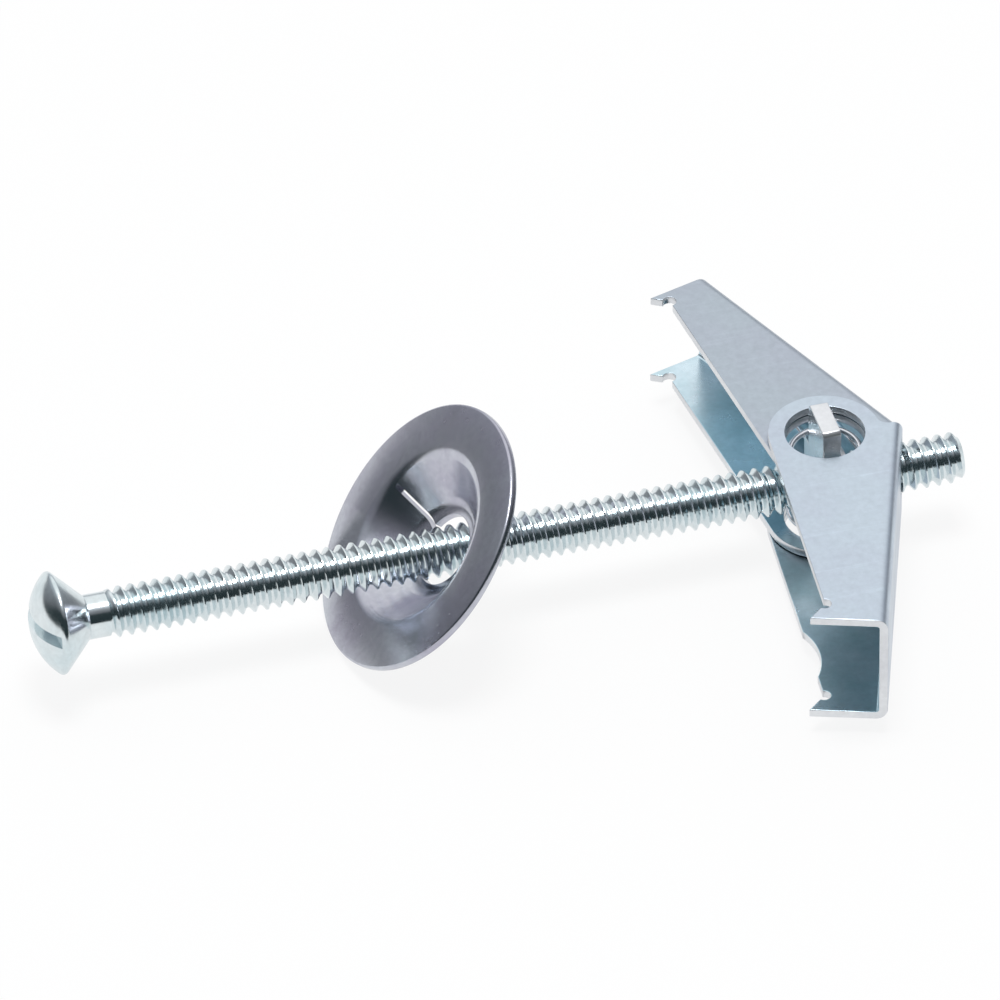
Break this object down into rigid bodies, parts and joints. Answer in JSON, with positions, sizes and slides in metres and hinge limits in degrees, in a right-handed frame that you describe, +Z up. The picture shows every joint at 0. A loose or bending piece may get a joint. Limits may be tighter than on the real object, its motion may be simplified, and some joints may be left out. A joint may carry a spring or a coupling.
{
  "type": "toggle bolt",
  "caption": "Spring-wing toggle bolt with slotted oval-head machine screw, dished washer, trunnion nut and folding channel wings for fixing to hollow walls",
  "frame": {"origin": "Middle of the footprint, on the surface that the bolt lies on.", "axes": "X runs along the bolt from the head at minus X to the tip at plus X, Y runs across it from the outer wing at minus Y to the inner wing at plus Y, and Z is up."},
  "size_m": [0.0912, 0.0546, 0.0208],
  "materials": {
    "screw_zinc": "bright zinc plate with a faint blue tint, smooth and fairly glossy",
    "washer_zinc": "bright zinc plate on pressed sheet, satin",
    "nut_zinc": "bright zinc plate, satin",
    "wing_zinc": "bright zinc plate on stamped sheet, satin with a bluish-green cast",
    "spring_wire": "plated spring wire, satin"
  },
  "bodies": {
    "screw": {"screw": "screw_zinc"},
    "washer": {"washer": "washer_zinc"},
    "nut": {"trunnion_nut": "nut_zinc", "wing_spring": "spring_wire"},
    "outer_wing": {"outer_wing": "wing_zinc"},
    "inner_wing": {"inner_wing": "wing_zinc"}
  },
  "joints": [
    {"name": "washer_slide", "type": "slide", "parent": "screw", "child": "washer", "axis": [-1, 0, 0.0084], "range_m": [-0.0018, 0.027]},
    {"name": "nut_travel", "type": "slide", "parent": "screw", "child": "nut", "axis": [-1, 0, 0.0084], "range_m": [-0.0095, 0.004]},
    {"name": "outer_wing_fold", "type": "hinge", "parent": "nut", "child": "outer_wing", "pos_m": [0.03227, 0.00089, 0.00778], "axis": [-0.0084, 0, -1], "range_deg": [0, 70], "stiffness_Nm_per_rad": 0.01, "springref_deg": -20.05, "deforming": ["wing_spring"]},
    {"name": "inner_wing_fold", "type": "hinge", "parent": "nut", "child": "inner_wing", "pos_m": [0.03227, 0.00089, 0.00778], "axis": [0.0084, 0, 1], "range_deg": [0, 66], "stiffness_Nm_per_rad": 0.01, "springref_deg": -20.05, "deforming": ["wing_spring"]}
  ]
}
